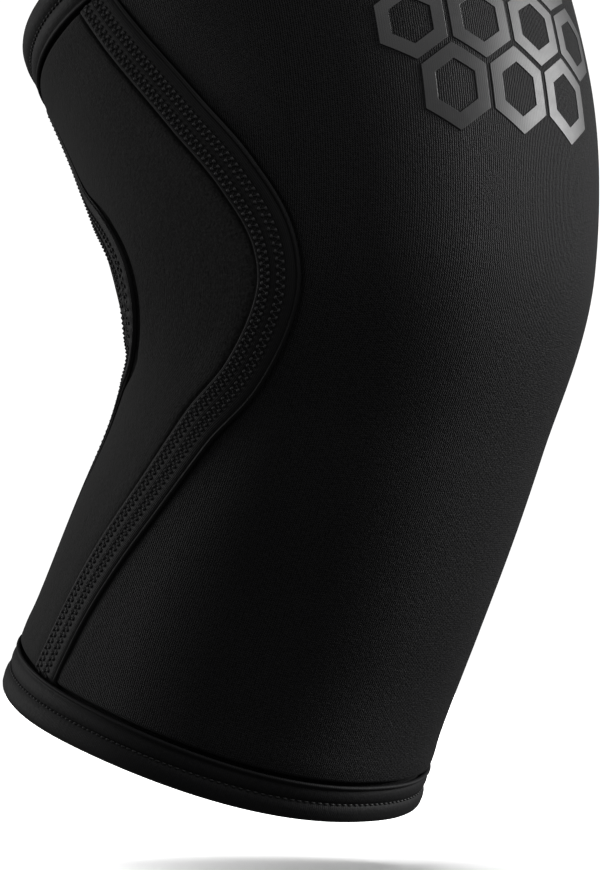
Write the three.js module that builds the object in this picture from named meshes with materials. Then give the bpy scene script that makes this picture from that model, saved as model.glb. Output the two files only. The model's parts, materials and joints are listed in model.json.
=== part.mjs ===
// A knee sleeve of 5 mm neoprene, in the bent form that it has on a leg. Lengths are in
// millimetres and angles in degrees. +Z is up, the front of the knee faces -Y, and the origin
// is the middle of the knee, in the hollow.
import * as THREE from "three";

// Driving sizes
const WALL = 5; // neoprene with jersey on both faces
const GAP = 0.3; // left between faces that touch
const FACET_ROOM = 0.2; // flat facets cut this far inside the curve that they follow
const CALF_WIDTH = 110; // outside, across the leg at the bottom hem
const KNEE_WIDTH = 130; // outside, across the knee
const THIGH_WIDTH = 149; // outside, across the leg at the top hem
const CALF_LENGTH = 129; // down the middle of the leg, from the knee to the bottom edge
const THIGH_LENGTH = 99; // up the middle of the leg, from the knee to the top edge
const CALF_LEAN = 28; // the shin slopes back going down
const THIGH_LEAN = 21; // the thigh slopes back going up
const BEND_LENGTH = 136; // the stretch of the leg's middle line that the bend takes
const HEM_RISE = 9.4; // the bottom edge is this much higher in front than at the sides
const SQUARENESS = 2.15; // 2 makes each section of four quarter ellipses, more makes it boxier
const TAPE_WIDTH = 12;
const TAPE_CLOTH = 0.6;
const HEM_WIDTH = 12;
const HEM_CLOTH = 1;
const HEM_PROUD = 0.3; // how far the hem stands out from the panels beside it
const HEM_ROUND = 0.9; // how far its rounded edge stands past the gap at the panels' cut edge
const INNER_HEM_WIDTH = 8; // the leg of the hem that lies on the lining
const EDGE_ROUND = 0.3; // taken off the cloth's outer edges

// Half-sizes of the sleeve's outside, as shares of the width named in each row. along is a
// share of CALF_LENGTH below the knee and of THIGH_LENGTH above it.
const SECTIONS = [
  { along: -1, of: CALF_WIDTH, side: 0.5, front: 0.582, back: 0.591 },
  { along: -0.58, of: CALF_WIDTH, side: 0.505, front: 0.55, back: 0.536 },
  { along: -0.19, of: KNEE_WIDTH, side: 0.446, front: 0.472, back: 0.409 },
  { along: 0.1, of: KNEE_WIDTH, side: 0.5, front: 0.556, back: 0.438 },
  { along: 0.61, of: THIGH_WIDTH, side: 0.477, front: 0.542, back: 0.425 },
  { along: 1, of: THIGH_WIDTH, side: 0.5, front: 0.542, back: 0.469 },
];

// Where the two seams of one side run, in degrees round from the front of the knee.
const SEAMS = [
  { along: -1, side: 112, pit: 160 },
  { along: -0.72, side: 106, pit: 155 },
  { along: -0.45, side: 93.8, pit: 145 },
  { along: -0.25, side: 82, pit: 134 },
  { along: -0.13, side: 70.3, pit: 121.5 },
  { along: 0, side: 62.3, pit: 114.3 },
  { along: 0.12, side: 62.8, pit: 113.5 },
  { along: 0.27, side: 69.7, pit: 119 },
  { along: 0.45, side: 78.7, pit: 130 },
  { along: 0.72, side: 88, pit: 141 },
  { along: 1, side: 95, pit: 149 },
];

// Creases across the pit of the knee. depth is a share of WALL and width of KNEE_WIDTH, and
// reach is how far round each side of the back a crease runs out.
const PIT_CREASES = [
  { along: -0.15, depth: 0.44, width: 0.045, reach: 66 },
  { along: -0.02, depth: 0.16, width: 0.03, reach: 50 },
  { along: -0.27, depth: 0.14, width: 0.03, reach: 44 },
];

// How finely the curved faces are divided
const ROW_STEP = 9;
const CREASE_ROW_STEP = 4;
const COLUMNS = { front: 24, side: 7, back: 10, tape: 3, hem: 52 };
const HEM_TURN_STEPS = 5;

// The panels' outer face is pressed in under a hem, to make room for the tapes and its cloth
const PRESS = TAPE_CLOTH + 2 * GAP + HEM_CLOTH - HEM_PROUD;
const PRESSED_FROM_END = HEM_WIDTH + GAP;
const PRESS_RUN = 3;
const TAPE_INSET = 1; // from the panels' cut edge to a tape's end, under the hem

const radians = THREE.MathUtils.degToRad;

// A smooth curve through rows of a table, with the slope at each row taken from its neighbours
function curveThrough(xs, ys) {
  const last = xs.length - 1;
  const slopeAt = (i) => {
    const low = Math.max(i - 1, 0);
    const high = Math.min(i + 1, last);
    return (ys[high] - ys[low]) / (xs[high] - xs[low]);
  };
  return (value) => {
    const x = THREE.MathUtils.clamp(value, xs[0], xs[last]);
    const next = xs.findIndex((station, i) => i > 0 && x <= station);
    const i = next - 1;
    const span = xs[next] - xs[i];
    const t = (x - xs[i]) / span;
    const rise = ys[next] - ys[i];
    const start = slopeAt(i) * span;
    const end = slopeAt(next) * span;
    return ys[i] + t * start + t * t * (3 * rise - 2 * start - end + t * (start + end - 2 * rise));
  };
}

const alongLeg = (share) => share * (share < 0 ? CALF_LENGTH : THIGH_LENGTH);
const sectionStations = SECTIONS.map((row) => alongLeg(row.along));
const halfSize = (column) =>
  curveThrough(
    sectionStations,
    SECTIONS.map((row) => row.of * row[column]),
  );
const halfSide = halfSize("side");
const halfFront = halfSize("front");
const halfBack = halfSize("back");
const seamStations = SEAMS.map((row) => alongLeg(row.along));
const sideSeam = curveThrough(
  seamStations,
  SEAMS.map((row) => row.side),
);
const pitSeam = curveThrough(
  seamStations,
  SEAMS.map((row) => row.pit),
);

// The leg's middle line: its slope turns smoothly through the bend, and its points are summed
// outward from the knee in short steps.
function slopeOf(along) {
  const turned = THREE.MathUtils.smoothstep(along, -BEND_LENGTH / 2, BEND_LENGTH / 2);
  return radians(-CALF_LEAN + (CALF_LEAN + THIGH_LEAN) * turned);
}

function middleOf(along) {
  const steps = Math.max(1, Math.ceil(Math.abs(along)));
  const step = along / steps;
  let y = 0;
  let z = 0;
  for (let i = 0; i < steps; i += 1) {
    const slope = slopeOf((i + 0.5) * step);
    y += Math.sin(slope) * step;
    z += Math.cos(slope) * step;
  }
  return { y, z };
}

function creaseDepth(along, angle) {
  const fromBack = 180 - Math.abs(angle);
  let depth = 0;
  for (const crease of PIT_CREASES) {
    const off = (along - alongLeg(crease.along)) / (crease.width * KNEE_WIDTH);
    const fade = 1 - THREE.MathUtils.smoothstep(fromBack, crease.reach * 0.4, crease.reach);
    depth += crease.depth * WALL * fade * Math.exp(-off * off);
  }
  return depth;
}

// How much a hem presses the panels in: 1 under it and 0 beside it
function pressUnderHem(along) {
  const fromEnd = Math.min(along + CALF_LENGTH, THIGH_LENGTH - along);
  return 1 - THREE.MathUtils.smoothstep(fromEnd, PRESSED_FROM_END, PRESSED_FROM_END + PRESS_RUN);
}

// A point of the sleeve: along the leg from the knee, round it from the front towards -X, and
// out from the panels' outer face.
function place(along, angle, out) {
  const turn = radians(angle);
  const forward = Math.cos(turn);
  const sideways = Math.sin(turn);
  const below = Math.max(0, -along / CALF_LENGTH);
  const station = along + HEM_RISE * forward * below * below;
  const depth = forward > 0 ? halfFront(station) : halfBack(station);
  const power = SQUARENESS;
  const sum = Math.abs(forward / depth) ** power + Math.abs(sideways / halfSide(station)) ** power;
  const radius = sum ** (-1 / power) - creaseDepth(along, angle) + out;
  const slope = slopeOf(station);
  const middle = middleOf(station);
  return new THREE.Vector3(
    -radius * sideways,
    middle.y - radius * forward * Math.cos(slope),
    middle.z + radius * forward * Math.sin(slope),
  );
}

const skin = (along) => -PRESS * pressUnderHem(along);

// Degrees that a length takes up round the leg
function degreesFor(length, along, angle) {
  const from = place(along, angle - 1, 0);
  const to = place(along, angle + 1, 0);
  return (2 * length) / from.distanceTo(to);
}

// Rows from end to end, closer together at the creases and where the hems' edges press
function rowsBetween(start, end) {
  const rows = [start];
  const creases = PIT_CREASES.map((crease) => alongLeg(crease.along));
  const margin = 1.5 * CREASE_ROW_STEP;
  const fineFrom = Math.min(...creases) - margin;
  const fineTo = Math.max(...creases) + margin;
  const bottomPress = -CALF_LENGTH + PRESSED_FROM_END;
  const topPress = THIGH_LENGTH - PRESSED_FROM_END;
  const marks = [bottomPress, bottomPress + PRESS_RUN, fineFrom, fineTo, topPress - PRESS_RUN, topPress];
  for (const mark of [...marks.filter((value) => value > start && value < end), end]) {
    const from = rows[rows.length - 1];
    const step = from >= fineFrom && mark <= fineTo ? CREASE_ROW_STEP : ROW_STEP;
    const count = Math.max(1, Math.round((mark - from) / step));
    for (let i = 1; i <= count; i += 1) {
      rows.push(from + ((mark - from) * i) / count);
    }
  }
  return rows;
}

// A closed mesh from points and quads, turned so that its faces point out
function closedMesh(points, quads) {
  const faces = quads.flatMap(([a, b, c, d]) => [
    [a, b, c],
    [a, c, d],
  ]);
  let volume = 0;
  for (const [a, b, c] of faces) {
    volume += points[a].dot(new THREE.Vector3().crossVectors(points[b], points[c]));
  }
  const geometry = new THREE.BufferGeometry();
  geometry.setAttribute(
    "position",
    new THREE.Float32BufferAttribute(
      points.flatMap((point) => point.toArray()),
      3,
    ),
  );
  geometry.setIndex(faces.flatMap(([a, b, c]) => (volume > 0 ? [a, b, c] : [a, c, b])));
  geometry.computeVertexNormals();
  return geometry;
}

// A strip of cloth or neoprene: a grid of rows and columns, with an outer and an inner face
function strip(rows, fineness, pointAt) {
  const columns = Math.round(fineness);
  const points = [];
  for (const layer of [1, 0]) {
    for (const row of rows) {
      for (let column = 0; column <= columns; column += 1) {
        points.push(pointAt(row, column / columns, layer));
      }
    }
  }
  const wide = columns + 1;
  const inner = rows.length * wide;
  const quads = [];
  for (let r = 0; r + 1 < rows.length; r += 1) {
    for (let c = 0; c < columns; c += 1) {
      const at = r * wide + c;
      quads.push([at, at + 1, at + wide + 1, at + wide]);
      quads.push([inner + at, inner + at + wide, inner + at + wide + 1, inner + at + 1]);
    }
    const left = r * wide;
    const right = left + columns;
    quads.push([left, left + wide, inner + left + wide, inner + left]);
    quads.push([right, inner + right, inner + right + wide, right + wide]);
  }
  for (let c = 0; c < columns; c += 1) {
    const last = (rows.length - 1) * wide + c;
    quads.push([c, inner + c, inner + c + 1, c + 1]);
    quads.push([last, last + 1, inner + last + 1, inner + last]);
  }
  return closedMesh(points, quads);
}

// A closed profile carried all the way round the leg
function band(profile, fineness, pointAt) {
  const columns = Math.round(fineness);
  const points = [];
  const quads = [];
  const count = profile.length;
  for (let column = 0; column < columns; column += 1) {
    const angle = (360 * column) / columns - 180;
    const start = column * count;
    const next = ((column + 1) % columns) * count;
    profile.forEach((corner, i) => {
      const j = (i + 1) % count;
      points.push(pointAt(corner, angle));
      quads.push([start + i, start + j, next + j, next + i]);
    });
  }
  return closedMesh(points, quads);
}

// A panel of neoprene between two seams, whose angles are functions of the place along the leg
function panel(from, to, columns) {
  const rows = rowsBetween(-CALF_LENGTH, THIGH_LENGTH);
  return strip(rows, columns, (along, across, layer) => {
    const low = from(along);
    const high = to(along);
    const start = low + degreesFor(GAP / 2, along, low);
    const end = high - degreesFor(GAP / 2, along, high);
    const angle = start + (end - start) * across;
    return place(along, angle, layer ? skin(along) : -WALL);
  });
}

// A flat tape over a seam, a little thinner at its two edges, that ends under the hems
function seamTape(seam, side) {
  const rows = rowsBetween(-CALF_LENGTH + TAPE_INSET, THIGH_LENGTH - TAPE_INSET);
  return strip(rows, COLUMNS.tape, (along, across, layer) => {
    const middle = seam(along);
    const half = degreesFor(TAPE_WIDTH / 2, along, middle);
    const angle = middle + half * (2 * across - 1);
    const atEdge = across === 0 || across === 1;
    const top = TAPE_CLOTH - (atEdge ? EDGE_ROUND * TAPE_CLOTH : 0);
    return place(along, side * angle, skin(along) + GAP + (layer ? top : 0));
  });
}

// A binding folded over the panels' cut edges, whose outer edge is half an ellipse. up is the
// distance from the cut edge towards the knee.
function hem(edge, direction) {
  const under = HEM_PROUD - HEM_CLOTH;
  const liningOuter = -WALL - GAP - FACET_ROOM;
  const lining = liningOuter - HEM_CLOTH;
  const middle = (HEM_PROUD + lining) / 2;
  const turn = HEM_ROUND + GAP;
  const profile = [
    { up: HEM_WIDTH, out: HEM_PROUD - EDGE_ROUND },
    { up: HEM_WIDTH, out: under },
    { up: TAPE_INSET / 2, out: under },
    { up: -GAP, out: skin(edge) },
    { up: -GAP, out: liningOuter },
    { up: INNER_HEM_WIDTH, out: liningOuter },
    { up: INNER_HEM_WIDTH, out: lining },
  ];
  for (let i = 0; i <= HEM_TURN_STEPS; i += 1) {
    const turned = radians((180 * i) / HEM_TURN_STEPS - 90);
    profile.push({
      up: HEM_CLOTH - (HEM_CLOTH + turn) * Math.cos(turned),
      out: middle + (HEM_PROUD - middle) * Math.sin(turned),
    });
  }
  profile.push({ up: HEM_WIDTH - EDGE_ROUND, out: HEM_PROUD });
  return band(profile, COLUMNS.hem, ({ up, out }, angle) => place(edge + direction * up, angle, out));
}

const panelJersey = new THREE.MeshStandardMaterial({ color: 0x0c0c0e, roughness: 0.72, metalness: 0 });
const sideJersey = new THREE.MeshStandardMaterial({ color: 0x111112, roughness: 0.88, metalness: 0 });
const tapeCloth = new THREE.MeshStandardMaterial({ color: 0x131315, roughness: 0.7, metalness: 0 });
const hemCloth = new THREE.MeshStandardMaterial({ color: 0x121214, roughness: 0.72, metalness: 0 });

const knee_sleeve = new THREE.Group();

function addPiece(name, geometry, material) {
  const mesh = new THREE.Mesh(geometry, material);
  mesh.name = name;
  knee_sleeve.add(mesh);
}

const mirrored = (seam) => (along) => -seam(along);
const pastBack = (seam) => (along) => 360 - seam(along);

addPiece("front_panel", panel(mirrored(sideSeam), sideSeam, COLUMNS.front), panelJersey);
addPiece("side_panel_left", panel(sideSeam, pitSeam, COLUMNS.side), sideJersey);
addPiece("side_panel_right", panel(mirrored(pitSeam), mirrored(sideSeam), COLUMNS.side), sideJersey);
addPiece("back_panel", panel(pitSeam, pastBack(pitSeam), COLUMNS.back), sideJersey);

for (const [name, side] of [
  ["left", 1],
  ["right", -1],
]) {
  addPiece(`side_seam_tape_${name}`, seamTape(sideSeam, side), tapeCloth);
  addPiece(`pit_seam_tape_${name}`, seamTape(pitSeam, side), tapeCloth);
}

addPiece("bottom_hem", hem(-CALF_LENGTH, 1), hemCloth);
addPiece("top_hem", hem(THIGH_LENGTH, -1), hemCloth);

export default knee_sleeve;
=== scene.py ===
import json
import math

import bpy
import numpy as np
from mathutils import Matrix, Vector

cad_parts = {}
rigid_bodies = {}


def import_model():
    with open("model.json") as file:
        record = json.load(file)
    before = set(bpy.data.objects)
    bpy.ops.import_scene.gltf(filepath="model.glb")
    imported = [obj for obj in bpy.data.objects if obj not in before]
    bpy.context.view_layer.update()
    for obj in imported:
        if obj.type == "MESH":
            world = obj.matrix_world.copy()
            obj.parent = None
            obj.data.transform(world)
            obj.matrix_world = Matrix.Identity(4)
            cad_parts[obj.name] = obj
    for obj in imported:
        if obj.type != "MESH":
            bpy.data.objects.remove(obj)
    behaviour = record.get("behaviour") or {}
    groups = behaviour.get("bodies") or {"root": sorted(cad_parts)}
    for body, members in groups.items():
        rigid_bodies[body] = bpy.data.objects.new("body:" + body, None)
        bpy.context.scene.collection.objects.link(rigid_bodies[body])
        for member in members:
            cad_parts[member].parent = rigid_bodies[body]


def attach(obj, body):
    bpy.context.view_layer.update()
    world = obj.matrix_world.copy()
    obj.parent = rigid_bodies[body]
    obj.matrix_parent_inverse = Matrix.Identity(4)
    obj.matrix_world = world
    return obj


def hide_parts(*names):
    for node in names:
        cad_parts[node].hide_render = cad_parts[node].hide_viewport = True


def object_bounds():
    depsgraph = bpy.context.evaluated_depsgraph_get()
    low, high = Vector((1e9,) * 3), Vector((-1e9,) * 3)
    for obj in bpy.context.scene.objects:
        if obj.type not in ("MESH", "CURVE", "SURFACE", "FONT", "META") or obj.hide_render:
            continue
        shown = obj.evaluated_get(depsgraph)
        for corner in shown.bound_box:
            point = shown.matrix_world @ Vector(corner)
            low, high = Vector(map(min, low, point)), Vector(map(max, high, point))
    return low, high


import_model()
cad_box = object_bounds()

# Sizes of the sleeve, in metres and degrees, as the part's source has them
WALL = 0.005
GAP = 0.0003
CALF_WIDTH = 0.110
KNEE_WIDTH = 0.130
THIGH_WIDTH = 0.149
CALF_LENGTH = 0.129
THIGH_LENGTH = 0.099
CALF_LEAN = 28
THIGH_LEAN = 21
BEND_LENGTH = 0.136
HEM_RISE = 0.0094
SQUARENESS = 2.15
TAPE_WIDTH = 0.012
TAPE_CLOTH = 0.0006
HEM_WIDTH = 0.012
HEM_CLOTH = 0.001
HEM_PROUD = 0.0003
HEM_ROUND = 0.0009
PRESS = TAPE_CLOTH + 2 * GAP + HEM_CLOTH - HEM_PROUD
PRESSED_FROM_END = HEM_WIDTH + GAP
PRESS_RUN = 0.0016

# Columns: along the leg, the width that the row follows, and half-sizes as shares of it
SECTIONS = [
    (-1.0, CALF_WIDTH, 0.500, 0.582, 0.591),
    (-0.58, CALF_WIDTH, 0.505, 0.550, 0.536),
    (-0.19, KNEE_WIDTH, 0.446, 0.472, 0.409),
    (0.1, KNEE_WIDTH, 0.500, 0.556, 0.438),
    (0.61, THIGH_WIDTH, 0.477, 0.542, 0.425),
    (1.0, THIGH_WIDTH, 0.500, 0.542, 0.469),
]
# Columns: along the leg, degrees from the front to the side seam and to the knee-pit seam
SEAMS = [
    (-1.0, 112, 160),
    (-0.72, 106, 155),
    (-0.45, 93.8, 145),
    (-0.25, 82, 134),
    (-0.13, 70.3, 121.5),
    (0.0, 62.3, 114.3),
    (0.12, 62.8, 113.5),
    (0.27, 69.7, 119),
    (0.45, 78.7, 130),
    (0.72, 88, 141),
    (1.0, 95, 149),
]
# Columns: along the leg, depth as a share of WALL, width of KNEE_WIDTH, reach in degrees
PIT_CREASES = [
    (-0.15, 0.44, 0.045, 66),
    (-0.02, 0.16, 0.030, 50),
    (-0.27, 0.14, 0.030, 44),
]
# The cloth's slow unevenness: waves along the leg, waves round it, phase and height
DRIFT = [
    (31, 3, 0.4, 0.00016),
    (53, -2, 1.9, 0.00012),
    (17, 5, 3.1, 0.00018),
    (74, 4, 4.4, 0.00008),
]

# The photograph's view: the camera's degrees round the knee to the left, its place and its aim
CAMERA_TURN = 48
CAMERA_AWAY = 0.81
CAMERA_HEIGHT = -0.099
CAMERA_AIM = (-0.0095, 0.0063, -0.0326)
LENS = 175
FLOOR_DROP = 0.014


# Surface of the sleeve


def along_leg(share):
    return np.where(share < 0, share * CALF_LENGTH, share * THIGH_LENGTH)


def curve_through(xs, ys):
    """A smooth curve through rows of a table, with each slope taken from its neighbours."""
    xs, ys = np.asarray(xs, float), np.asarray(ys, float)
    last = len(xs) - 1
    low, high = np.maximum(np.arange(last + 1) - 1, 0), np.minimum(np.arange(last + 1) + 1, last)
    slopes = (ys[high] - ys[low]) / (xs[high] - xs[low])

    def value(x):
        x = np.clip(x, xs[0], xs[-1])
        i = np.clip(np.searchsorted(xs, x) - 1, 0, last - 1)
        span = xs[i + 1] - xs[i]
        t = (x - xs[i]) / span
        rise = ys[i + 1] - ys[i]
        start, end = slopes[i] * span, slopes[i + 1] * span
        bend = 3 * rise - 2 * start - end + t * (start + end - 2 * rise)
        return ys[i] + t * start + t * t * bend

    return value


def smoothstep(x, low, high):
    t = np.clip((x - low) / (high - low), 0, 1)
    return t * t * (3 - 2 * t)


stations = along_leg(np.array([row[0] for row in SECTIONS]))
half_side = curve_through(stations, [row[1] * row[2] for row in SECTIONS])
half_front = curve_through(stations, [row[1] * row[3] for row in SECTIONS])
half_back = curve_through(stations, [row[1] * row[4] for row in SECTIONS])
seam_stations = along_leg(np.array([row[0] for row in SEAMS]))
side_seam = curve_through(seam_stations, [row[1] for row in SEAMS])
pit_seam = curve_through(seam_stations, [row[2] for row in SEAMS])


def slope_of(along):
    turned = smoothstep(along, -BEND_LENGTH / 2, BEND_LENGTH / 2)
    return np.radians(-CALF_LEAN + (CALF_LEAN + THIGH_LEAN) * turned)


def middle_line():
    """The leg's middle line, as a table from well below the sleeve to well above it."""
    steps = np.linspace(-0.16, 0.13, 2901)
    mids = slope_of((steps[1:] + steps[:-1]) / 2)
    step = steps[1] - steps[0]
    y = np.concatenate([[0], np.cumsum(np.sin(mids) * step)])
    z = np.concatenate([[0], np.cumsum(np.cos(mids) * step)])
    return steps, y - np.interp(0, steps, y), z - np.interp(0, steps, z)


LINE_S, LINE_Y, LINE_Z = middle_line()


def crease_depth(along, angle):
    from_back = 180 - np.abs((angle + 180) % 360 - 180)
    depth = 0
    for share, deep, wide, reach in PIT_CREASES:
        off = (along - along_leg(share)) / (wide * KNEE_WIDTH)
        fade = 1 - smoothstep(from_back, reach * 0.4, reach)
        depth = depth + deep * WALL * fade * np.exp(-off * off)
    return depth


def drift(along, angle):
    return sum(
        height * np.sin(waves * along * 2 + turns * np.radians(angle) + phase)
        for waves, turns, phase, height in DRIFT
    )


def press_under_hem(along):
    from_end = np.minimum(along + CALF_LENGTH, THIGH_LENGTH - along)
    return 1 - smoothstep(from_end, PRESSED_FROM_END, PRESSED_FROM_END + PRESS_RUN)


def skin(along):
    return -PRESS * press_under_hem(along)


def place(along, angle, out):
    """Points of the sleeve, from arrays of places along the leg, round it and out from it."""
    along, angle, out = np.broadcast_arrays(
        np.asarray(along, float), np.asarray(angle, float), np.asarray(out, float)
    )
    forward, sideways = np.cos(np.radians(angle)), np.sin(np.radians(angle))
    below = np.maximum(0, -along / CALF_LENGTH)
    station = along + HEM_RISE * forward * below * below
    depth = np.where(forward > 0, half_front(station), half_back(station))
    total = np.abs(forward / depth) ** SQUARENESS
    total = total + np.abs(sideways / half_side(station)) ** SQUARENESS
    radius = total ** (-1 / SQUARENESS) - crease_depth(along, angle) + drift(along, angle) + out
    slope = slope_of(station)
    y, z = np.interp(station, LINE_S, LINE_Y), np.interp(station, LINE_S, LINE_Z)
    return np.stack(
        [
            -radius * sideways,
            y - radius * forward * np.cos(slope),
            z + radius * forward * np.sin(slope),
        ],
        -1,
    )


def degrees_for(length, along, angle):
    """Degrees that a length takes up round the leg."""
    span = np.linalg.norm(place(along, angle + 1, 0) - place(along, angle - 1, 0), axis=-1)
    return 2 * length / span


def stretch_at(along, angle):
    """How long a step along the leg's middle line is on the sleeve's outside."""
    step = 0.0005
    return np.linalg.norm(
        place(along + step, angle, 0) - place(along - step, angle, 0), axis=-1
    ) / (2 * step)


# Mesh helpers


def mesh_piece(name, points, faces, material, uv=None):
    mesh = bpy.data.meshes.new(name)
    mesh.from_pydata(np.asarray(points, float).reshape(-1, 3).tolist(), [], faces)
    if uv is not None:
        layer = mesh.uv_layers.new(name="cloth")
        loops = np.zeros(len(mesh.loops), np.int32)
        mesh.loops.foreach_get("vertex_index", loops)
        layer.data.foreach_set("uv", np.asarray(uv, np.float32).reshape(-1, 2)[loops].ravel())
    mesh.polygons.foreach_set("use_smooth", [True] * len(mesh.polygons))
    mesh.validate()
    mesh.update()
    piece = bpy.data.objects.new(name, mesh)
    bpy.context.collection.objects.link(piece)
    piece.data.materials.append(material)
    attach(piece, "root")
    return piece


def grid_faces(rows, columns, start=0, closed=False, flip=False):
    faces = []
    for r in range(rows - 1):
        for c in range(columns if closed else columns - 1):
            d = (c + 1) % columns
            quad = (
                start + r * columns + c,
                start + r * columns + d,
                start + (r + 1) * columns + d,
                start + (r + 1) * columns + c,
            )
            faces.append(quad[::-1] if flip else quad)
    return faces


def closed_strip(outer, inner):
    """Points and faces of a sheet with an outer and an inner face, each an array of rows."""
    rows, columns = outer.shape[:2]
    points = np.concatenate([outer.reshape(-1, 3), inner.reshape(-1, 3)])
    shift = rows * columns
    faces = grid_faces(rows, columns, flip=True) + grid_faces(rows, columns, start=shift)
    edge = [r * columns for r in range(rows)]
    edge += [(rows - 1) * columns + c for c in range(1, columns)]
    edge += [r * columns + columns - 1 for r in range(rows - 2, -1, -1)]
    edge += [c for c in range(columns - 2, 0, -1)]
    for a, b in zip(edge, edge[1:] + edge[:1]):
        faces.append((a, b, shift + b, shift + a))
    return points, faces


def cloth_map(points):
    """Lengths across and along a closed strip's outer face, and the same for its inner one."""
    across = np.linalg.norm(np.diff(points, axis=1), axis=-1)
    u = np.concatenate([np.zeros((len(points), 1)), np.cumsum(across, axis=1)], axis=1)
    u = u - u[:, [u.shape[1] // 2]]
    down = np.linalg.norm(np.diff(points, axis=0), axis=-1)
    v = np.concatenate([np.zeros((1, points.shape[1])), np.cumsum(down, axis=0)])
    face = np.stack([u, v], -1).reshape(-1, 2)
    return np.concatenate([face, face])


def spread_with_marks(start, end, step, fine):
    """Places from start to end a step apart, with the fine marks among them."""
    count = max(2, int(round((end - start) / step)))
    even = np.linspace(start, end, count + 1)
    marks = np.array(sorted(fine))
    far = [x for x in even if np.abs(marks - x).min() > step * 0.45]
    ends = [start, end]
    values = np.array(sorted(set(far) | set(marks[(marks > start) & (marks < end)]) | set(ends)))
    return values[np.concatenate([[True], np.diff(values) > 1e-6])]


# Materials

# The width of a wale and the height of a course of each knit
FRONT_KNIT = (0.00064, 0.0006)
PLUSH_KNIT = (0.0008, 0.00075)
TAPE_KNIT = (0.0005, 0.0005)
HEM_KNIT = (0.0006, 0.0006)
# How far a row of the knit strays, as a share of its own size
KNIT_WANDER = 0.8


def principled(name, colour, roughness, **sockets):
    material = bpy.data.materials.new(name)
    material.use_nodes = True
    shader = material.node_tree.nodes["Principled BSDF"]
    shader.inputs["Base Color"].default_value = (*colour, 1)
    shader.inputs["Roughness"].default_value = roughness
    for socket, value in sockets.items():
        shader.inputs[socket.replace("_", " ")].default_value = value
    return material, material.node_tree, shader


def node(tree, kind, **values):
    made = tree.nodes.new(kind)
    for key, value in values.items():
        if key in made.inputs:
            made.inputs[key].default_value = value
        else:
            setattr(made, key, value)
    return made


def math_node(tree, operation, *values):
    made = tree.nodes.new("ShaderNodeMath")
    made.operation = operation
    for socket, value in zip(made.inputs, values):
        if isinstance(value, (int, float)):
            socket.default_value = value
        else:
            tree.links.new(value, socket)
    return made.outputs[0]


def knit_height(tree, wale, course):
    """Height of a plain knit: rows of loops side by side, wale apart, and course apart."""
    uv = node(tree, "ShaderNodeUVMap", uv_map="cloth")
    split = node(tree, "ShaderNodeSeparateXYZ")
    tree.links.new(uv.outputs[0], split.inputs[0])
    wander = object_noise(tree, 420, 2, 0.6)
    across = math_node(tree, "MULTIPLY_ADD", wander, wale * KNIT_WANDER, split.outputs[0])
    along = math_node(tree, "MULTIPLY_ADD", wander, course * KNIT_WANDER, split.outputs[1])
    across = math_node(tree, "MULTIPLY", across, 2 * math.pi / wale)
    along = math_node(tree, "MULTIPLY", along, 2 * math.pi / course)
    rib = math_node(tree, "COSINE", across)
    loop = math_node(tree, "COSINE", along)
    both = math_node(tree, "MULTIPLY", rib, loop)
    lifted = math_node(tree, "MULTIPLY_ADD", rib, 0.3, 0.5)
    return math_node(tree, "MULTIPLY_ADD", both, 0.2, lifted)


def object_noise(tree, scale, detail, roughness):
    coordinates = node(tree, "ShaderNodeTexCoord")
    noise = node(tree, "ShaderNodeTexNoise", Scale=scale, Detail=detail, Roughness=roughness)
    tree.links.new(coordinates.outputs["Object"], noise.inputs["Vector"])
    return noise.outputs["Fac"]


def add_bump(tree, shader, height, strength, distance):
    bump = node(tree, "ShaderNodeBump", Strength=strength, Distance=distance)
    tree.links.new(height, bump.inputs["Height"])
    tree.links.new(bump.outputs["Normal"], shader.inputs["Normal"])


def vary_colour(tree, shader, factor, dark, light, low=0.0, high=1.0):
    ramp = node(tree, "ShaderNodeValToRGB")
    ramp.color_ramp.elements[0].position = low
    ramp.color_ramp.elements[1].position = high
    ramp.color_ramp.elements[0].color = (*dark, 1)
    ramp.color_ramp.elements[1].color = (*light, 1)
    tree.links.new(factor, ramp.inputs["Fac"])
    tree.links.new(ramp.outputs["Color"], shader.inputs["Base Color"])


def vary_roughness(tree, shader, factor, low, high):
    spread = node(tree, "ShaderNodeMapRange")
    spread.inputs["To Min"].default_value = low
    spread.inputs["To Max"].default_value = high
    tree.links.new(factor, spread.inputs["Value"])
    tree.links.new(spread.outputs["Result"], shader.inputs["Roughness"])


def front_jersey():
    material, tree, shader = principled(
        "front_jersey", (0.005, 0.005, 0.0055), 0.64, Specular_IOR_Level=0.06
    )
    knit = knit_height(tree, *FRONT_KNIT)
    uneven = object_noise(tree, 1400, 3, 0.6)
    grain = math_node(tree, "MULTIPLY_ADD", uneven, 1.5, -0.375)
    height = math_node(tree, "ADD", grain, knit)
    add_bump(tree, shader, height, 0.95, 0.00032)
    # painted shade: the colour follows the knit's height, so the low places between loops are
    # darker; the grain noise in it adds random tone
    vary_colour(tree, shader, height, (0.0002, 0.0002, 0.00025), (0.0095, 0.0095, 0.01), 0.16, 0.96)
    vary_roughness(tree, shader, uneven, 0.5, 0.7)
    return material


def plush_jersey():
    material, tree, shader = principled(
        "plush_jersey",
        (0.01, 0.01, 0.01),
        0.85,
        Sheen_Weight=0.03,
        Sheen_Roughness=0.5,
        Specular_IOR_Level=0.06,
    )
    fuzz = object_noise(tree, 1300, 4, 0.7)
    clumps = object_noise(tree, 380, 3, 0.6)
    knit = knit_height(tree, *PLUSH_KNIT)
    mixed = math_node(tree, "MULTIPLY_ADD", clumps, 0.8, fuzz)
    height = math_node(tree, "MULTIPLY_ADD", knit, 0.22, mixed)
    add_bump(tree, shader, height, 0.9, 0.00028)
    vary_colour(tree, shader, fuzz, (0.0012, 0.0012, 0.0012), (0.021, 0.021, 0.021), 0.28, 0.72)
    vary_roughness(tree, shader, fuzz, 0.7, 0.92)
    return material


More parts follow.
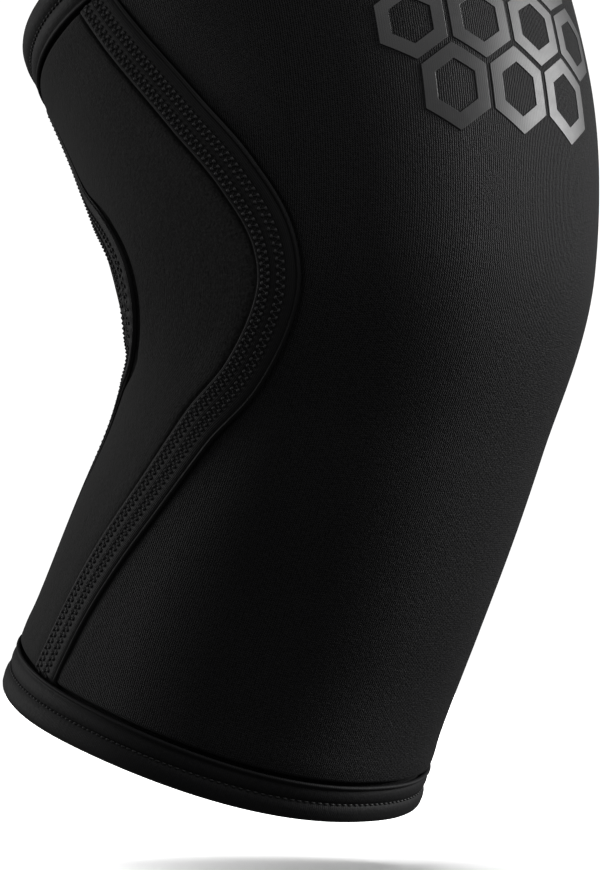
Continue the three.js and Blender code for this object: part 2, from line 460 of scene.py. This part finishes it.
def tape_cloth():
    material, tree, shader = principled(
        "tape_cloth", (0.007, 0.007, 0.0075), 0.64, Specular_IOR_Level=0.075
    )
    knit = knit_height(tree, *TAPE_KNIT)
    uneven = object_noise(tree, 1100, 2, 0.6)
    height = math_node(tree, "MULTIPLY_ADD", uneven, 0.5, knit)
    add_bump(tree, shader, height, 0.6, 0.00013)
    # painted shade: the colour follows the tape's knit height, so the low places between loops are
    # darker; the noise in it adds random tone
    vary_colour(tree, shader, height, (0.0011, 0.0011, 0.0012), (0.009, 0.009, 0.0094))
    vary_roughness(tree, shader, uneven, 0.5, 0.72)
    return material


def hem_cloth():
    material, tree, shader = principled(
        "hem_cloth", (0.007, 0.007, 0.0075), 0.66, Specular_IOR_Level=0.075
    )
    knit = knit_height(tree, *HEM_KNIT)
    uneven = object_noise(tree, 1000, 3, 0.6)
    height = math_node(tree, "MULTIPLY_ADD", knit, 0.35, uneven)
    add_bump(tree, shader, height, 0.7, 0.00018)
    # partly painted shade: the colour follows the hem's height, so the knit's low places between
    # loops are darker; the larger noise share is random tone
    vary_colour(tree, shader, height, (0.001, 0.001, 0.0011), (0.0085, 0.0085, 0.009))
    vary_roughness(tree, shader, uneven, 0.52, 0.76)
    return material


def sewing_thread(name, dark, light):
    material, tree, shader = principled(name, light, 0.5, Specular_IOR_Level=0.12)
    twist = object_noise(tree, 4000, 2, 0.5)
    add_bump(tree, shader, twist, 0.3, 0.00006)
    vary_colour(tree, shader, twist, dark, light)
    return material


def print_film():
    material, tree, shader = principled(
        "print_film", (0.017, 0.017, 0.0175), 0.36, Specular_IOR_Level=0.22
    )
    knit = knit_height(tree, *FRONT_KNIT)
    mottled = object_noise(tree, 300, 3, 0.6)
    add_bump(tree, shader, knit, 0.25, 0.00008)
    vary_colour(tree, shader, mottled, (0.012, 0.012, 0.0124), (0.022, 0.022, 0.0226))
    vary_roughness(tree, shader, mottled, 0.38, 0.52)
    return material


# Panels

PANEL_STEP = 0.0016
TAPE_HALF = TAPE_WIDTH / 2
GROOVE_DEEP = 0.0006
GROOVE_WIDE = 0.0005
# The groove beside a tape loses this share of its depth between these lengths down the calf
GROOVE_FADE = 0.75
GROOVE_FADES_FROM = 0.04
GROOVE_FADES_TO = 0.085
PUFF_HIGH = 0.00022
PUFF_WIDE = 0.0035
HEM_PUFF_AWAY = 1.6 * PUFF_WIDE
# Distances from a seam and from a cut edge that get a row of points of their own
SEAM_MARKS = np.array([0, 2, 4, 5, 5.5, 5.9, 6.2, 6.5, 6.9, 7.4, 8.1, 9, 10.2, 11.6]) / 1000
END_MARKS = np.array([0, 3, 6, 9, 11, 12, 12.4, 12.8, 13.3, 13.9, 14.6, 15.5, 17, 19]) / 1000


def seam_relief(away, along):
    """The panel beside a tape: a groove at its edge, shallow down the calf, and a low swelling."""
    deep = GROOVE_DEEP * (
        1 - GROOVE_FADE * smoothstep(-along, GROOVE_FADES_FROM, GROOVE_FADES_TO)
    )
    groove = deep * np.exp(-(((away - TAPE_HALF - GAP) / GROOVE_WIDE) ** 2))
    puff = PUFF_HIGH * np.exp(-(((away - TAPE_HALF - PUFF_WIDE) / PUFF_WIDE) ** 2))
    return puff - groove


def hem_relief(along):
    from_end = np.minimum(along + CALF_LENGTH, THIGH_LENGTH - along)
    groove = GROOVE_DEEP * np.exp(-(((from_end - HEM_WIDTH - GAP) / GROOVE_WIDE) ** 2))
    puff = PUFF_HIGH * np.exp(-(((from_end - HEM_WIDTH - HEM_PUFF_AWAY) / PUFF_WIDE) ** 2))
    return puff - groove


def panel_rows():
    marks = np.concatenate([-CALF_LENGTH + END_MARKS, THIGH_LENGTH - END_MARKS])
    return spread_with_marks(-CALF_LENGTH, THIGH_LENGTH, PANEL_STEP, marks)


def seam_turn(seam, along):
    """Degrees round the leg that a seam goes in a metre along it."""
    step = 0.0004
    return (seam(along + step) - seam(along - step)) / (2 * step)


def seam_lean(seam, along):
    """How much further it is round the leg than square to the seam, where the seam slants."""
    turn = seam_turn(seam, along)
    slant = turn / degrees_for(1.0, along, seam(along)) / stretch_at(along, seam(along))
    return np.sqrt(1 + slant * slant)


def spread_from_seam(share, half_share, half, lean):
    """Distances from a seam: real ones for the fine marks, and a share of what is left beyond."""
    near = SEAM_MARKS[-1]
    rest = near * lean + (share - near) * (half - near * lean) / (half_share - near)
    return np.where(share > near, rest, share * lean)


def panel(name, node_name, low, high, material):
    rows = panel_rows()
    width = np.max(
        (high(rows) - low(rows)) / degrees_for(1.0, rows, (low(rows) + high(rows)) / 2)
    )
    shares = spread_with_marks(
        0, width, PANEL_STEP, np.concatenate([SEAM_MARKS, width - SEAM_MARKS])
    )
    start = low(rows) + degrees_for(GAP / 2, rows, low(rows))
    end = high(rows) - degrees_for(GAP / 2, rows, high(rows))
    row_width = (end - start) / degrees_for(1.0, rows, (start + end) / 2)
    # fine columns keep their real distance from both seams, and the rest share what is left
    low_lean, high_lean = seam_lean(low, rows)[:, None], seam_lean(high, rows)[:, None]
    half = row_width[:, None] / 2
    low_at = spread_from_seam(np.minimum(shares, width / 2)[None, :], width / 2, half, low_lean)
    high_at = spread_from_seam(
        np.minimum(width - shares, width / 2)[None, :], width / 2, half, high_lean
    )
    across = np.where(shares[None, :] < width / 2, low_at, row_width[:, None] - high_at)
    angle = start[:, None] + (end - start)[:, None] * across / row_width[:, None]
    along = rows[:, None] * np.ones_like(angle)
    away = np.minimum(across / low_lean, (row_width[:, None] - across) / high_lean)
    relief = seam_relief(away, along) + hem_relief(along)
    outer = place(along, angle, skin(along) + relief)
    inner = place(along, angle, -WALL * np.ones_like(along))
    points, faces = closed_strip(outer, inner)
    piece = mesh_piece(name, points, faces, material, cloth_map(outer))
    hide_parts(node_name)


# Seam tapes

# Columns: place across the tape as a share of its half-width, and height above its underside
TAPE_PROFILE = [
    (-1.0, 0.00005),
    (-0.985, 0.0003),
    (-0.95, 0.0005),
    (-0.88, 0.00058),
    (-0.8, 0.00052),
    (-0.74, 0.00034),
    (-0.68, 0.00046),
    (-0.59, 0.0005),
    (-0.5, 0.00046),
    (-0.44, 0.00034),
    (-0.37, 0.00054),
    (-0.27, 0.00066),
    (-0.17, 0.00068),
    (-0.07, 0.00058),
    (0.0, 0.00036),
    (0.06, 0.00048),
    (0.14, 0.0005),
    (0.22, 0.00048),
    (0.28, 0.00036),
    (0.35, 0.00056),
    (0.46, 0.00066),
    (0.58, 0.00066),
    (0.7, 0.00058),
    (0.77, 0.00042),
    (0.81, 0.00028),
    (0.84, 0.0005),
    (0.87, 0.00085),
    (0.9, 0.00108),
    (0.93, 0.00112),
    (0.96, 0.001),
    (0.985, 0.0007),
    (1.0, 0.0001),
]
# Columns: middle and half-width of each stitched band, as shares of the tape's half-width
STITCH_BANDS = ((-0.59, 0.15), (0.14, 0.14))
STITCH_PITCH = 0.002
STITCHES_FROM_END = 0.012
# Columns: length, radius and rise of a thread
LOOP_THREAD = (0.00125, 0.0004, 0.00026)
CROSSING_THREAD = (
    math.hypot(STITCH_PITCH / 2, 2 * STITCH_BANDS[0][1] * TAPE_HALF),
    0.00013,
    0.00006,
)
LOOP_HEIGHT = 0.0005
CROSSING_HEIGHT = 0.00046
THREAD_PULL = 0.00005
TAPE_ROW_STEP = 0.0008
# The cord on a tape's front edge: where it starts, as a share of the tape's half-width
CORD_FROM = 0.82
# Columns: how much flatter the cord is at the tape's end, and from and to where along the leg
CORD_BELOW = (0.45, 0.02, 0.06)
CORD_ABOVE = (0.6, 0.022, 0.06)
# Columns: place along the leg, half-width, height, and how far it slants across the tape
PIT_WRINKLES = [
    (0.0075, 0.0011, 0.00022, 0.0010),
    (0.0035, 0.0010, 0.00034, 0.0012),
    (-0.0002, 0.0010, 0.00045, 0.0008),
    (-0.0040, 0.0011, 0.00050, 0.0011),
    (-0.0082, 0.0012, 0.00042, 0.0006),
    (-0.0128, 0.0012, 0.00030, 0.0009),
]


def seam_line(seam, side):
    """The seam's course: places along the leg, and the length of the seam up to each."""
    along = np.linspace(-CALF_LENGTH + 0.001, THIGH_LENGTH - 0.001, 2000)
    points = place(along, side * seam(along), 0)
    run = np.concatenate([[0], np.cumsum(np.linalg.norm(np.diff(points, axis=0), axis=1))])
    return along, run


def on_tape(seam, side, along, across, height):
    """Points of a tape, across being square to the seam, and more than 0 towards the front."""
    turn = seam_turn(seam, along)
    metre = 1 / degrees_for(1.0, along, side * seam(along))
    stretch = stretch_at(along, side * seam(along))
    slant = np.sqrt(stretch**2 + (turn * metre) ** 2)
    at = along + across * turn * metre / (slant * stretch)
    angle = seam(along) - across * stretch / (slant * metre)
    return place(at, side * angle, skin(at) + GAP + height)


def tape_directions(seam, side, along, across, height):
    """A point of a tape, and unit vectors along it, out of it and across it to the front."""
    step = 0.0004
    here = on_tape(seam, side, along, across, height)
    forward = on_tape(seam, side, along + step, across, height) - here
    out = on_tape(seam, side, along, across, height + step) - here
    over = on_tape(seam, side, along, across + step, height) - here
    return here, *(v / np.linalg.norm(v, axis=-1, keepdims=True) for v in (forward, out, over))


def pit_wrinkles(along, share):
    """Small folds across the knee-pit tape, where the bent sleeve is pushed together."""
    folds = np.zeros_like(along)
    for middle, wide, high, lean in PIT_WRINKLES:
        folds = folds + high * np.exp(-(((along - middle - lean * share) / wide) ** 2))
    return folds * np.clip(1 - share**4, 0, 1)


def cord_flattening(along):
    """How much flatter the cord along the front edge lies towards the tape's two ends."""
    below, low_start, low_end = CORD_BELOW
    above, high_start, high_end = CORD_ABOVE
    lower = below * smoothstep(-along, low_start, low_end)
    return lower + above * smoothstep(along, high_start, high_end)


def seam_tape(name, node_name, seam, side, material, thread):
    along, run = seam_line(seam, side)
    count = int(run[-1] / TAPE_ROW_STEP)
    rows = np.interp(np.linspace(0, run[-1], count), run, along)
    shares = np.array([row[0] for row in TAPE_PROFILE])
    heights = np.array([row[1] for row in TAPE_PROFILE])
    along_grid = rows[:, None] * np.ones((1, len(shares)))
    share_grid = np.ones((len(rows), 1)) * shares[None, :]
    pulled = THREAD_PULL * np.sin(np.linspace(0, run[-1], count) / STITCH_PITCH * 2 * math.pi)
    lift = heights[None, :] + pulled[:, None] * (np.abs(share_grid) < 0.75)
    lift = lift * (1 - cord_flattening(along_grid) * (share_grid > CORD_FROM))
    if seam is pit_seam:
        lift = lift + pit_wrinkles(along_grid, share_grid)
    outer = on_tape(seam, side, along_grid, share_grid * TAPE_HALF, lift)
    inner = on_tape(seam, side, along_grid, share_grid * TAPE_HALF, -GAP * 0.5)
    points, faces = closed_strip(outer, inner)
    if side > 0:
        faces = [face[::-1] for face in faces]
    piece = mesh_piece(name, points, faces, material, cloth_map(outer))
    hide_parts(node_name)
    tape_stitches(f"{name}_stitches", seam, side, along, run, thread)


def stitch_mesh(name, centres, forward, out, size, material):
    """Short threads, each an arch whose two ends go down into the cloth."""
    length, radius, rise = size
    sides = 6
    steps = np.array([-1, -0.62, 0, 0.62, 1.0])
    width = np.array([0.45, 0.9, 1, 0.9, 0.45]) * radius
    side = np.cross(out, forward)
    turn = np.linspace(0, 2 * math.pi, sides, endpoint=False)
    spine = (
        centres[:, None, :]
        + forward[:, None, :] * (steps * length / 2)[None, :, None]
        + out[:, None, :] * (rise * (1 - 1.6 * steps**2))[None, :, None]
    )
    ring = (
        out[:, None, None, :] * np.cos(turn)[None, None, :, None]
        + side[:, None, None, :] * np.sin(turn)[None, None, :, None]
    )
    points = spine[:, :, None, :] + ring * width[None, :, None, None]
    faces = []
    per = len(steps) * sides
    for k in range(len(centres)):
        start = k * per
        faces += grid_faces(len(steps), sides, start=start, closed=True, flip=True)
        faces.append(tuple(start + i for i in range(sides)))
        faces.append(tuple(start + per - 1 - i for i in range(sides)))
    mesh_piece(name, points, faces, material)


def tape_stitches(name, seam, side, along, run, thread):
    """Two bands of cover stitch: loops down both lines of a band, and threads that cross it."""
    loops, crossings = [], []
    for k, (middle, half) in enumerate(STITCH_BANDS):
        for line in (-1, 1):
            offset = 0.25 * (line + 1) + 0.3 * k
            first = STITCHES_FROM_END + offset * STITCH_PITCH
            spots = np.arange(first, run[-1] - STITCHES_FROM_END, STITCH_PITCH)
            at = np.interp(spots, run, along)
            across = (middle + line * half) * TAPE_HALF
            here, forward, out, _ = tape_directions(seam, side, at, across, LOOP_HEIGHT)
            loops.append((here, forward, out))
            at = np.interp(spots + STITCH_PITCH / 4, run, along)
            across = middle * TAPE_HALF
            here, forward, out, over = tape_directions(seam, side, at, across, CROSSING_HEIGHT)
            diagonal = forward * STITCH_PITCH / 2 - line * over * 2 * half * TAPE_HALF
            diagonal /= np.linalg.norm(diagonal, axis=-1, keepdims=True)
            crossings.append((here, diagonal, out))
    for label, rows, size in (
        ("loops", loops, LOOP_THREAD),
        ("crossings", crossings, CROSSING_THREAD),
    ):
        centres, forward, out = (np.concatenate(column) for column in zip(*rows))
        stitch_mesh(f"{name}_{label}", centres, forward, out, size, thread)


# Hems

HEM_STITCHES = {"bottom_hem": 190, "top_hem": 226}
HEM_STITCH_UP = 0.0058
HEM_STITCH_OUT = -0.00036
# The dimples that the stitches pull in the hem
HEM_DIMPLE_WIDE = 0.0012
HEM_DIMPLE_DEEP = 0.00012
POINTS_PER_STITCH = 4
# Columns: length, radius and rise of a thread
HEM_THREAD = (0.0015, 0.0003, 0.00018)
# How far in from the cut edge the inner leg's outer side, its rounded edge and its inner side reach
HEM_INNER_LEG = (0.008, 0.0082, 0.0078)
HEM_EDGE_THICK = 0.0004
# Columns: distance from the cut edge towards the knee, and height out from the panels' face
HEM_FACE = [
    (0.0121, -0.0006),
    (0.01225, -0.0001),
    (0.01215, 0.0003),
    (0.01185, 0.00048),
    (0.0115, 0.00046),
    (0.0112, 0.0002),
    (0.01105, -0.0002),
    (0.0108, -0.0004),
    (0.0104, -0.0002),
    (0.0098, 0.00005),
    (0.009, 0.0002),
    (0.0082, 0.00022),
    (0.0074, 0.00012),
    (0.0067, -0.00012),
    (0.0062, -0.00042),
    (0.0058, -0.00045),
    (0.0054, -0.00015),
    (0.0048, 0.0002),
    (0.004, 0.00045),
    (0.003, 0.00052),
    (0.002, 0.00045),
]
HEM_TURN_STEPS = 12


def hem_profile():
    """The binding's section: up from the cut edge and out from the panels' face, all round it."""
    under = HEM_PROUD - HEM_CLOTH
    lining_outer = -WALL - GAP * 0.5
    lining = lining_outer - HEM_CLOTH
    top = HEM_FACE[-1][1]
    middle = (top + lining) / 2
    start_up = HEM_FACE[-1][0]
    turn = HEM_ROUND + GAP
    profile = [(HEM_WIDTH, under), (0.0005, under), (-GAP, -PRESS), (-GAP, lining_outer)]
    inner_heights = (lining_outer, lining + HEM_EDGE_THICK, lining)
    profile += list(zip(HEM_INNER_LEG, inner_heights))
    for i in range(HEM_TURN_STEPS):
        turned = math.radians(180 * i / HEM_TURN_STEPS - 90)
        up = start_up - (start_up + turn) * abs(math.cos(turned)) ** 0.8
        profile.append((up, middle + (top - middle) * math.sin(turned)))
    profile += HEM_FACE[::-1]
    return np.array([row[0] for row in profile]), np.array([row[1] for row in profile])


def hem(name, edge, direction, material, thread):
    ups, outs = hem_profile()
    count = HEM_STITCHES[name] * POINTS_PER_STITCH
    angle = np.linspace(-180, 180, count, endpoint=False)
    pucker = np.cos(2 * math.pi * np.arange(count) / POINTS_PER_STITCH)
    near = np.exp(-(((ups - HEM_STITCH_UP) / HEM_DIMPLE_WIDE) ** 2)) * (outs > 0)
    out = outs[None, :] - HEM_DIMPLE_DEEP * near[None, :] * (0.5 - 0.5 * pucker[:, None])
    up = ups[None, :] * np.ones((count, 1))
    points = place(edge + direction * up, angle[:, None], out)
    faces = []
    wide = len(ups)
    for c in range(count):
        start, following = c * wide, ((c + 1) % count) * wide
        for i in range(wide):
            j = (i + 1) % wide
            quad = (start + i, start + j, following + j, following + i)
            faces.append(quad if direction > 0 else quad[::-1])
    run = np.linalg.norm(np.diff(points, axis=1, append=points[:, :1]), axis=-1)
    v = np.concatenate([np.zeros((count, 1)), np.cumsum(run, axis=1)[:, :-1]], axis=1)
    radius = (half_side(edge) + half_front(edge)) / 2
    u = np.radians(angle)[:, None] * radius * np.ones_like(v)
    uv = np.stack([u, v], -1)
    piece = mesh_piece(f"{name}_binding", points, faces, material, uv)
    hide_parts(name)
    hem_stitches(f"{name}_stitches", HEM_STITCHES[name], edge + direction * HEM_STITCH_UP, thread)


def hem_stitches(name, count, at, thread):
    """A line of stitches round the leg, sunk in the hem's groove."""
    angle = np.linspace(-180, 180, count, endpoint=False)
    here = place(at, angle, HEM_STITCH_OUT)
    forward = place(at, angle + 0.4, 0.0003) - place(at, angle - 0.4, 0.0003)
    forward /= np.linalg.norm(forward, axis=-1, keepdims=True)
    out = place(at, angle, 0.001) - place(at, angle, 0)
    out /= np.linalg.norm(out, axis=-1, keepdims=True)
    stitch_mesh(name, here, forward, out, HEM_THREAD, thread)


# Print on the front: hexagon rings in a comb

PRINT_ALONG = 0.049
PRINT_ANGLE = 6
CELL = 0.0205
CELL_GAP = 0.0016
STROKE = 0.0042
FILM = 0.00008
# Columns: place of the row up the leg, in rows, and how many cells it has
COMB_ROWS = ((-1, 3), (0, 4), (1, 3))
# Across a ring's stroke: a close pair of lines at each edge keeps the film's rim crisp
STROKE_SHARES = (0, 0.03, 0.06, 0.35, 0.65, 0.94, 0.97, 1)
# A hexagon's distance from its middle to a side, as a share of that to a corner
HEX_FLAT = math.cos(math.radians(30))
POINTS_PER_SIDE = 9


def on_front(p, q, out):
    """A point of the front, p across from the print's middle and q up from it."""
    stretch = stretch_at(np.array(PRINT_ALONG), 0)
    along = PRINT_ALONG + q / stretch
    angle = PRINT_ANGLE - p * degrees_for(1.0, along, np.full_like(along, PRINT_ANGLE))
    return place(along, angle, out + hem_relief(along))


def hexagon(radius, count):
    """Corners and points between them of a hexagon with a corner at the top."""
    corners = [math.radians(90 + 60 * i) for i in range(7)]
    xs, ys = radius * np.cos(corners), radius * np.sin(corners)
    t = np.arange(6 * count) / count
    return np.interp(t, range(7), xs), np.interp(t, range(7), ys)


def front_print(material):
    outer = (CELL - CELL_GAP) / 2 / HEX_FLAT
    radii = [outer - share * STROKE for share in STROKE_SHARES]
    layers = [(radius, FILM + GAP * 0.3) for radius in radii]
    layers += [(radii[-1], GAP * 0.1), (radii[0], GAP * 0.1)]
    rings = len(layers)
    wide = 6 * POINTS_PER_SIDE
    points, faces, uv = [], [], []
    for row, cells in COMB_ROWS:
        for k in range(cells):
            p0 = (k - (cells - 1) / 2) * CELL
            q0 = row * CELL * HEX_FLAT
            start = len(points) * wide
            for radius, out in layers:
                x, y = hexagon(radius, POINTS_PER_SIDE)
                points.append(on_front(p0 + x, q0 + y, out))
                uv.append(np.stack([p0 + x, q0 + y], -1))
            for r in range(rings):
                following = (r + 1) % rings
                for c in range(wide):
                    d = (c + 1) % wide
                    faces.append(
                        (
                            start + r * wide + c,
                            start + r * wide + d,
                            start + following * wide + d,
                            start + following * wide + c,
                        )
                    )
    mesh_piece(
        "front_print", np.concatenate(points), faces, material, np.concatenate(uv)
    )


# The whole sleeve


def mirrored(seam):
    return lambda along: -seam(along)


def past_back(seam):
    return lambda along: 360 - seam(along)


def sleeve():
    jersey, plush, tape, binding = front_jersey(), plush_jersey(), tape_cloth(), hem_cloth()
    thread = sewing_thread("tape_thread", (0.009, 0.009, 0.0094), (0.029, 0.029, 0.03))
    hem_thread = sewing_thread("hem_thread", (0.006, 0.006, 0.0063), (0.017, 0.017, 0.0175))
    film = print_film()
    panel("front_cloth", "front_panel", mirrored(side_seam), side_seam, jersey)
    panel("side_cloth_left", "side_panel_left", side_seam, pit_seam, plush)
    panel(
        "side_cloth_right",
        "side_panel_right",
        mirrored(pit_seam),
        mirrored(side_seam),
        plush,
    )
    panel("back_cloth", "back_panel", pit_seam, past_back(pit_seam), plush)
    for side_name, side in (("left", 1), ("right", -1)):
        name = f"side_seam_tape_{side_name}"
        seam_tape(f"{name}_cloth", name, side_seam, side, tape, thread)
        name = f"pit_seam_tape_{side_name}"
        seam_tape(f"{name}_cloth", name, pit_seam, side, tape, thread)
    hem("bottom_hem", -CALF_LENGTH, 1, binding, hem_thread)
    hem("top_hem", THIGH_LENGTH, -1, binding, hem_thread)
    front_print(film)


# Floor, light and camera

FLOOR_HALF = 6
# Columns: name, place, size, power and aim of the lights that shine on the sleeve alone
SLEEVE_LIGHTS = [
    ("side_right", (1.0, -0.78, 0.4), (0.6, 0.6), 33, (0, 0, 0.02)),
    ("side_left", (-0.36, 1.0, 0.15), (0.4, 0.7), 5.6, (0, 0, 0)),
    ("front_high", (-0.3, -0.7, 0.8), (0.8, 0.8), 7.6, (0, 0, 0.05)),
]
# The sun that shines on the floor alone
SUN_POWER = 8.6
SUN_SPREAD = 100
SUN_DIRECTION = (0.3, -0.34, -1)
# Strength of the world's light, and how much brighter the camera sees it
WORLD_LIGHT = 0.18
WORLD_SEEN = 0.92
SENSOR_WIDTH = 36


def stage():
    floor = bpy.data.meshes.new("floor")
    low = cad_box[0][2] - FLOOR_DROP
    half = FLOOR_HALF
    corners = [(-half, -half, low), (half, -half, low), (half, half, low), (-half, half, low)]
    floor.from_pydata(corners, [], [(0, 1, 2, 3)])
    piece = bpy.data.objects.new("floor", floor)
    bpy.context.collection.objects.link(piece)
    material = principled("floor_white", (0.9, 0.9, 0.9), 0.9)[0]
    piece.data.materials.append(material)
    # the floor is lit for a blown-out white, so it lends the dark cloth no light
    piece.visible_diffuse = False
    piece.visible_glossy = False


def turn_to(holder, direction):
    """Turn a lamp or a camera so that it looks in a direction."""
    holder.rotation_euler = Vector(direction).to_track_quat("-Z", "Y").to_euler()


def area_light(name, place_at, size, power, aim, shines_on):
    light = bpy.data.lights.new(name, "AREA")
    light.shape = "RECTANGLE"
    light.size, light.size_y = size
    light.energy = power
    lamp = bpy.data.objects.new(name, light)
    lamp.location = place_at
    turn_to(lamp, Vector(aim) - Vector(place_at))
    bpy.context.collection.objects.link(lamp)
    lamp.light_linking.receiver_collection = shines_on


def light_groups():
    """The sleeve's pieces, and the floor, for the lights that shine on only one of them."""
    pieces = bpy.data.collections.new("sleeve_pieces")
    ground = bpy.data.collections.new("ground")
    for piece in bpy.context.scene.objects:
        if piece.type == "MESH":
            group = ground if piece.name == "floor" else pieces
            group.objects.link(piece)
    return pieces, ground


def lights():
    world = bpy.data.worlds.new("studio")
    bpy.context.scene.world = world
    world.use_nodes = True
    background = world.node_tree.nodes["Background"]
    background.inputs["Color"].default_value = (1, 1, 1, 1)
    paths = node(world.node_tree, "ShaderNodeLightPath")
    camera_ray = paths.outputs["Is Camera Ray"]
    seen = math_node(world.node_tree, "MULTIPLY_ADD", camera_ray, WORLD_SEEN, WORLD_LIGHT)
    world.node_tree.links.new(seen, background.inputs["Strength"])
    pieces, ground = light_groups()
    for name, place_at, size, power, aim in SLEEVE_LIGHTS:
        area_light(name, place_at, size, power, aim, pieces)
    sun = bpy.data.lights.new("overhead", "SUN")
    sun.energy = SUN_POWER
    sun.angle = math.radians(SUN_SPREAD)
    lamp = bpy.data.objects.new("overhead", sun)
    turn_to(lamp, SUN_DIRECTION)
    lamp.light_linking.receiver_collection = ground
    bpy.context.collection.objects.link(lamp)


def camera():
    turn = math.radians(CAMERA_TURN)
    eye = bpy.data.cameras.new("camera")
    eye.lens, eye.sensor_width, eye.sensor_fit = LENS, SENSOR_WIDTH, "HORIZONTAL"
    eye.clip_start, eye.clip_end = 0.05, 50
    holder = bpy.data.objects.new("camera", eye)
    holder.location = (
        -math.sin(turn) * CAMERA_AWAY,
        -math.cos(turn) * CAMERA_AWAY,
        CAMERA_HEIGHT,
    )
    turn_to(holder, Vector(CAMERA_AIM) - Vector(holder.location))
    bpy.context.collection.objects.link(holder)
    bpy.context.scene.camera = holder


camera()
sleeve()
stage()
lights()
bpy.context.scene.view_settings.view_transform = "Standard"
